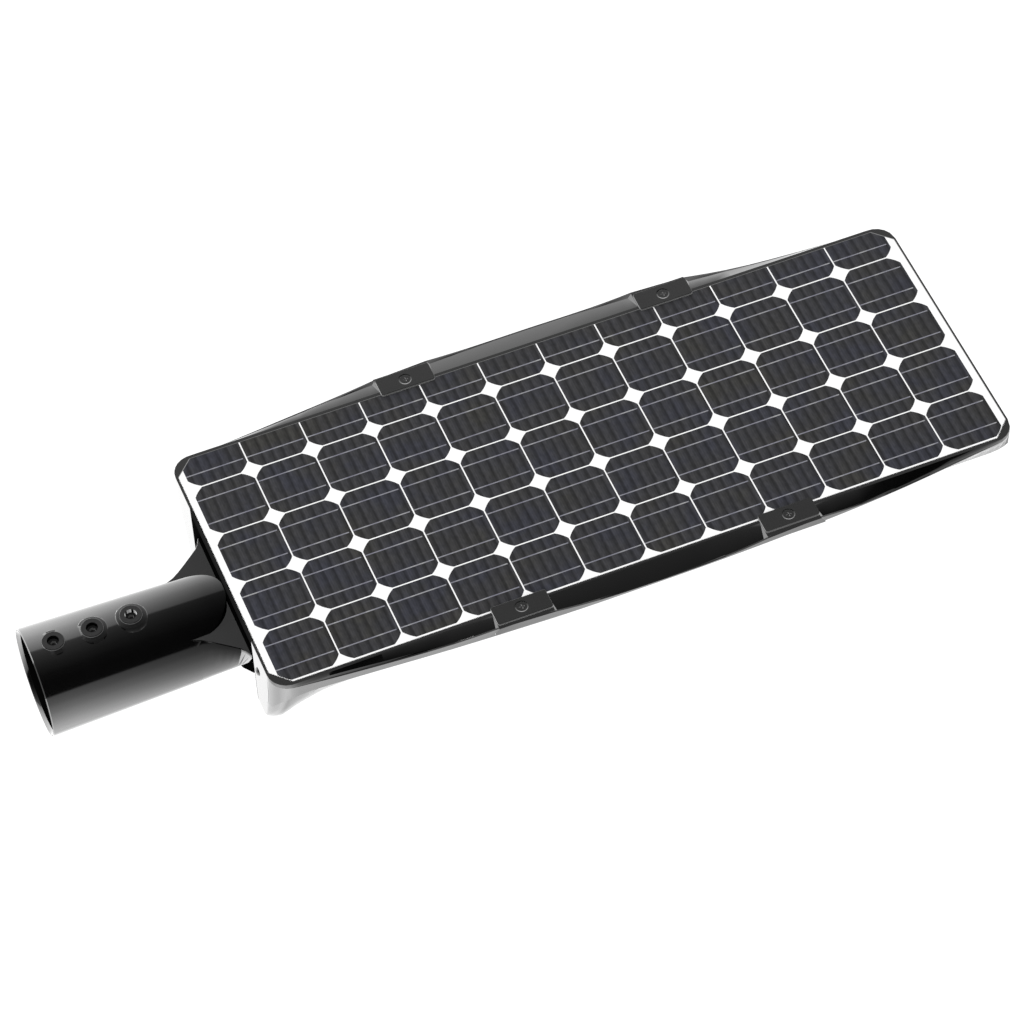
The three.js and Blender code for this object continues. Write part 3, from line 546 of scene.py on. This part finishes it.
def wafer_strips(outline, top):
    """A wafer's outline split along its two ribbons."""
    cuts = [top - PITCH * share for share in BUSBAR_SHARES]
    upper = clipped(outline, (0.0, cuts[0]), (1.0, cuts[0]))
    middle = clipped(clipped(outline, (1.0, cuts[0]), (0.0, cuts[0])), (0.0, cuts[1]), (1.0, cuts[1]))
    lower = clipped(outline, (1.0, cuts[1]), (0.0, cuts[1]))
    return upper, middle, lower


def solar_cells(border):
    """Outlines of all the strips, and the shift of each strip's pleats along the panel."""
    half = (PITCH - CELL_GAP) / 2
    dice = random.Random(7)
    outlines, shifts = [], []
    for top in cell_rows():
        for column in range(COLUMNS):
            wafer_shift = dice.uniform(-0.1, 0.1) * PITCH / STRIPES_PER_CELL
            outline = wafer(FIRST_X + PITCH * (column + 0.5), top - PITCH / 2, half)
            outline = inside(clipped(outline, (1.0, FAR_EDGE), (0.0, FAR_EDGE)), border)
            for strip in wafer_strips(outline, top):
                step = dice.uniform(-0.25, 0.25) * PITCH / STRIPES_PER_CELL
                if len(strip) > 2:
                    outlines.append(strip)
                    shifts.append(wafer_shift + step)
    return outlines, shifts


def busbars(border):
    outlines = []
    for top in cell_rows():
        for share in BUSBAR_SHARES:
            y = top - PITCH * share
            if y > FAR_EDGE - BUSBAR_WIDTH:
                continue
            low, high = y - BUSBAR_WIDTH / 2, y + BUSBAR_WIDTH / 2
            for column in range(COLUMNS):
                x0 = FIRST_X + PITCH * column + CELL_GAP / 2
                x1 = x0 + PITCH - CELL_GAP - BUSBAR_SHORT
                outlines.append(inside([(x0, low), (x1, low), (x1, high), (x0, high)], border))
    return outlines


def name_strips(cells, shifts):
    """Write each strip's shift on its face, where the material reads it."""
    strip = cells.data.attributes.new("strip", "FLOAT_VECTOR", "FACE")
    for face, shift in zip(strip.data, shifts):
        face.vector = (shift, 0.0, 0.0)


def solar_panel(sheet, silicon, ribbon):
    """The laminate: a white sheet with real cells and ribbons just over it."""
    low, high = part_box("solar_panel")
    skin = skin_of("solar_panel", sheet)
    for vertex in skin.data.vertices:
        if vertex.co.z > high[2] - 1e-4:
            vertex.co.z -= SHEET_DEPTH
    border = cut_corner_rectangle(low[:2], high[:2], 15 * MM)
    top = high[2] - SHEET_DEPTH
    outlines, shifts = solar_cells(border)
    cells = flat_mesh("solar_cells", outlines, top + 0.05 * MM, silicon)
    name_strips(cells, shifts)
    flat_mesh("cell_ribbons", busbars(border), top + 0.10 * MM, ribbon)


# ---- stage -----------------------------------------------------------------

def emission_material(name, strength):
    material = bpy.data.materials.new(name)
    material.use_nodes = True
    nodes = material.node_tree.nodes
    nodes.clear()
    output = nodes.new("ShaderNodeOutputMaterial")
    emission = nodes.new("ShaderNodeEmission")
    emission.inputs["Strength"].default_value = strength
    material.node_tree.links.new(emission.outputs["Emission"], output.inputs["Surface"])
    return material, nodes, material.node_tree.links, emission, output


def stage_mesh(name, vertices, faces, material):
    mesh = bpy.data.meshes.new(name)
    mesh.from_pydata(vertices, [], faces)
    mesh.materials.append(material)
    piece = bpy.data.objects.new(name, mesh)
    bpy.context.scene.collection.objects.link(piece)
    return piece


def pale_floor():
    material = emission_material("pale_floor", 1.15)[0]
    r = 30.0
    corners = [(-r, -r, FLOOR_Z), (r, -r, FLOOR_Z), (r, r, FLOOR_Z), (-r, r, FLOOR_Z)]
    stage_mesh("floor", corners, [(0, 1, 2, 3)],
               material)


def reflection_tent():
    """A long tube of lit and black cloth round the lamp, seen in reflections only.

    Its brightness goes by the angle round the lamp's length, with -90 below, 0 on the far side,
    90 overhead and 180 on the near side, and it is brighter towards the pole end.
    """
    levels = [
        (-180, 1.38), (-171, 1.95), (-161, 2.35), (-151, 3.0), (-141, 3.3), (-131, 3.5), (-121, 3.45),
        (-111, 3.0), (-101, 2.55), (-91, 1.85), (-71, 1.5), (-61, 1.15), (-43, 1.4), (-33, 1.8),
        (-23, 2.05), (-13, 2.55), (-3, 3.1), (7, 3.6), (17, 3.9), (27, 3.65), (37, 3.4), (47, 2.9),
        (61, 2.1), (63, 0.55), (78, 0.36), (98, 0.17), (118, 0.05), (135, 0.02), (163, 0.02),
        (165, 1.0), (180, 1.38),
    ]
    brightest = 4.0
    material, nodes, links, emission, output = emission_material("tent_cloth", brightest)
    where = nodes.new("ShaderNodeNewGeometry")
    axes = nodes.new("ShaderNodeSeparateXYZ")
    angle = nodes.new("ShaderNodeMath")
    angle.operation = "ARCTAN2"
    turn = nodes.new("ShaderNodeMapRange")
    turn.inputs["From Min"].default_value = -math.pi
    turn.inputs["From Max"].default_value = math.pi
    links.new(where.outputs["Position"], axes.inputs["Vector"])
    links.new(axes.outputs["Z"], angle.inputs[0])
    links.new(axes.outputs["Y"], angle.inputs[1])
    links.new(angle.outputs["Value"], turn.inputs["Value"])
    stops = [((degrees + 180) / 360, grey(level / brightest)) for degrees, level in levels]
    cloth = ramp(nodes, links, turn.outputs["Result"], stops)
    along = nodes.new("ShaderNodeMapRange")
    along.interpolation_type = "SMOOTHSTEP"
    along.inputs["From Min"].default_value = -0.4
    along.inputs["From Max"].default_value = 0.6
    along.inputs["To Min"].default_value = brightest * 1.75
    along.inputs["To Max"].default_value = brightest
    links.new(axes.outputs["X"], along.inputs["Value"])
    links.new(along.outputs["Result"], emission.inputs["Strength"])
    links.new(cloth.outputs["Color"], emission.inputs["Color"])
    sides = 48
    vertices = []
    for x in (-TENT_LENGTH / 2, TENT_LENGTH / 2):
        for i in range(sides):
            a = 2 * math.pi * i / sides
            vertices.append((x, TENT_RADIUS * math.cos(a), TENT_RADIUS * math.sin(a)))
    faces = [(i, (i + 1) % sides, sides + (i + 1) % sides, sides + i) for i in range(sides)]
    tent = stage_mesh("reflection_tent", vertices, faces, material)
    tent.visible_camera = False
    tent.visible_diffuse = False
    tent.visible_transmission = False
    tent.visible_volume_scatter = False
    tent.visible_shadow = False


def soft_world():
    world = bpy.data.worlds.new("soft_white")
    world.use_nodes = True
    world.node_tree.nodes["Background"].inputs["Color"].default_value = (1, 1, 1, 1)
    world.node_tree.nodes["Background"].inputs["Strength"].default_value = 1.1
    bpy.context.scene.world = world


def studio_camera():
    data = bpy.data.cameras.new("camera")
    data.sensor_width = SENSOR
    data.lens = LENS
    data.clip_start = 0.1
    data.clip_end = 60.0
    camera = bpy.data.objects.new("camera", data)
    turn = Matrix((CAMERA_RIGHT, CAMERA_UP, CAMERA_BACK)).transposed().to_4x4()
    camera.matrix_world = Matrix.Translation(CAMERA_PLACE) @ turn
    bpy.context.scene.collection.objects.link(camera)
    bpy.context.scene.camera = camera


# ---- the lamp --------------------------------------------------------------

def names_with(prefix):
    return sorted(name for name in BODY_OF if name.startswith(prefix))


def dress_lamp():
    paint, clamp = paint_material(), clamp_material()
    steel, dark_steel = steel_material(), dark_steel_material()
    rubber, plastic = rubber_material(), plastic_material()
    solar_panel(backsheet_material(), cell_material(), busbar_material())
    lit_level_coat = lit_level_coat_material()
    housing = skin_of("housing", paint, 0.35 * MM)
    # the level faces of housing and bracket get painted light
    paint_light_on_level_faces(housing, lit_level_coat)
    paint_recess_shade(housing, recess_shade_material())
    bracket = skin_of("pole_bracket", sleeve_paint_material(), 0.3 * MM)
    paint_light_on_level_faces(bracket, lit_level_coat)
    dress_bracket(bracket)
    true_round_sleeve(bracket)
    skin_of("battery_door", paint, 0.3 * MM)
    for name in names_with("panel_clamp"):
        skin_of(name, clamp, 0.3 * MM)
    for name in names_with("clamp_screw"):
        skin_of(name, clamp, 0.12 * MM)
    black_oxide = black_oxide_material()
    for name in names_with("set_screw"):
        skin_of(name, black_oxide)
    skin_of("earth_screw", dark_steel, 0.12 * MM)
    finishes = {
        "panel_gasket": rubber, "bracket_gasket": rubber, "door_gasket": rubber, "lens_gasket": rubber,
        "panel_lead": rubber, "battery_lead": rubber, "light_lead": rubber, "button_lead": rubber,
        "panel_junction_box": plastic, "battery_strap": plastic, "charge_controller": plastic,
        "button_bezel": plastic,
        "button_nut": plastic, "button_switch": plastic, "power_button": rubber, "battery_cradle": steel,
        "led_board": led_board_material(), "led_lens_plate": lens_material(), "sensor_dome": dome_material(),
        "sensor_board": circuit_material(),
    }
    for prefix in ("bracket_bolt", "door_screw", "lens_screw", "cradle_screw", "controller_screw"):
        finishes.update({name: steel for name in names_with(prefix)})
    wrap = wrap_material()
    finishes.update({name: wrap for name in names_with("battery_cell")})
    for name, material in finishes.items():
        skin_of(name, material, 0.15 * MM)


dress_lamp()
pale_floor()
reflection_tent()
soft_world()
studio_camera()
bpy.context.scene.view_settings.view_transform = "Standard"
